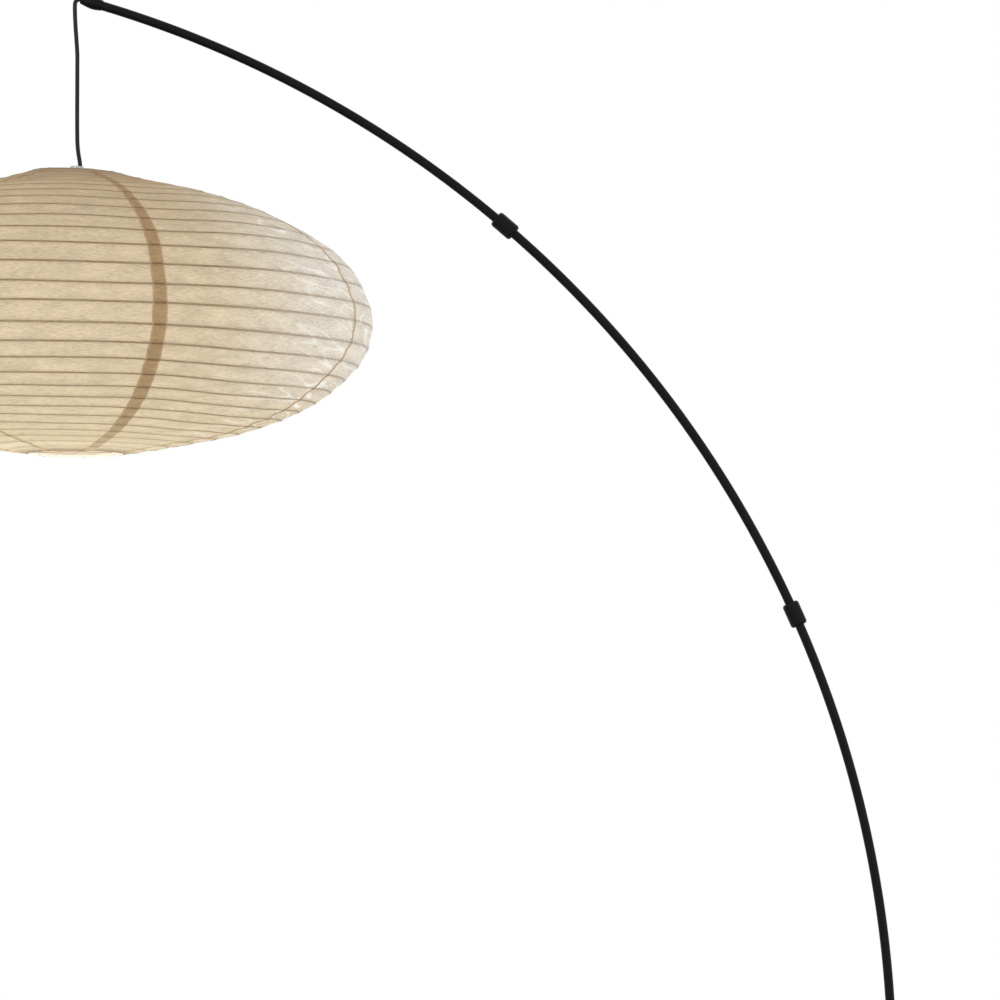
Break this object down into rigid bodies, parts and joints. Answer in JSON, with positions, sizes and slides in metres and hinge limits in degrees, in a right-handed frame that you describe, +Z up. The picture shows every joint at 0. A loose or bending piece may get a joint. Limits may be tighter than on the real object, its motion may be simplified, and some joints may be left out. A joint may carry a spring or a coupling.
{
  "type": "floor lamp",
  "caption": "Arc floor lamp: round weighted base, jointed tubular pole bent to one radius, and a wide ribbed paper lantern hung from the tip on a cord.",
  "frame": {"origin": "centre of the base's underside, on the column's axis", "axes": "+Z up along the column; the pole bends in the plane Y = 0 towards -X, where the lantern hangs"},
  "size_m": [1.6037, 0.77, 2.0976],
  "materials": {
    "base_metal": "satin",
    "pole_metal": "satin",
    "pad": "matte",
    "fastener": "satin",
    "bush": "matte",
    "cord": "satin",
    "holder": "satin",
    "contact": "matte",
    "screw_cap": "satin",
    "bulb": "satin",
    "wire": "satin",
    "hoop": "matte",
    "paper": "matte"
  },
  "bodies": {
    "stand": {"base_pad": "pad", "base_disc": "base_metal", "base_washer": "fastener", "base_bolt": "fastener", "base_socket": "base_metal", "inlet_grommet": "bush", "column_tube": "pole_metal", "lower_arc_tube": "pole_metal", "middle_arc_tube": "pole_metal", "upper_arc_tube": "pole_metal", "lower_coupler": "pole_metal", "middle_coupler": "pole_metal", "upper_coupler": "pole_metal", "tip_cap": "pole_metal", "feed_cord": "cord"},
    "cord_bend": {"pendant_cord_bend": "cord"},
    "cord_drop": {"pendant_cord_drop": "cord"},
    "lantern": {"cord_grip": "holder", "holder_cap": "holder", "holder_shell": "holder", "holder_contact": "contact", "shade_ring": "holder", "bulb_screw_cap": "screw_cap", "bulb_glass": "bulb", "spreader_hub": "wire", "spreader_leg_left": "wire", "spreader_leg_right": "wire", "spreader_crossbar": "wire", "top_rim_hoop": "hoop", "bottom_rim_hoop": "hoop", "paper_gore_1": "paper", "paper_gore_2": "paper", "paper_gore_3": "paper", "paper_gore_4": "paper", "paper_gore_5": "paper", "paper_gore_6": "paper", "paper_gore_7": "paper"}
  },
  "joints": [
    {"name": "pendant_sway", "type": "hinge", "parent": "stand", "child": "cord_bend", "pos_m": [-1.05478, 0, 2.0926], "axis": [-0.9607, 0, 0.2775], "range_deg": [-20, 20]},
    {"name": "pendant_swing", "type": "hinge", "parent": "cord_bend", "child": "cord_drop", "pos_m": [-1.05878, 0, 2.007], "axis": [0, 1, 0], "range_deg": [-18, 25]},
    {"name": "lantern_turn", "type": "hinge", "parent": "cord_drop", "child": "lantern", "pos_m": [-1.05878, 0, 1.8307], "axis": [0, 0, 1], "range_deg": [-90, 90]}
  ]
}
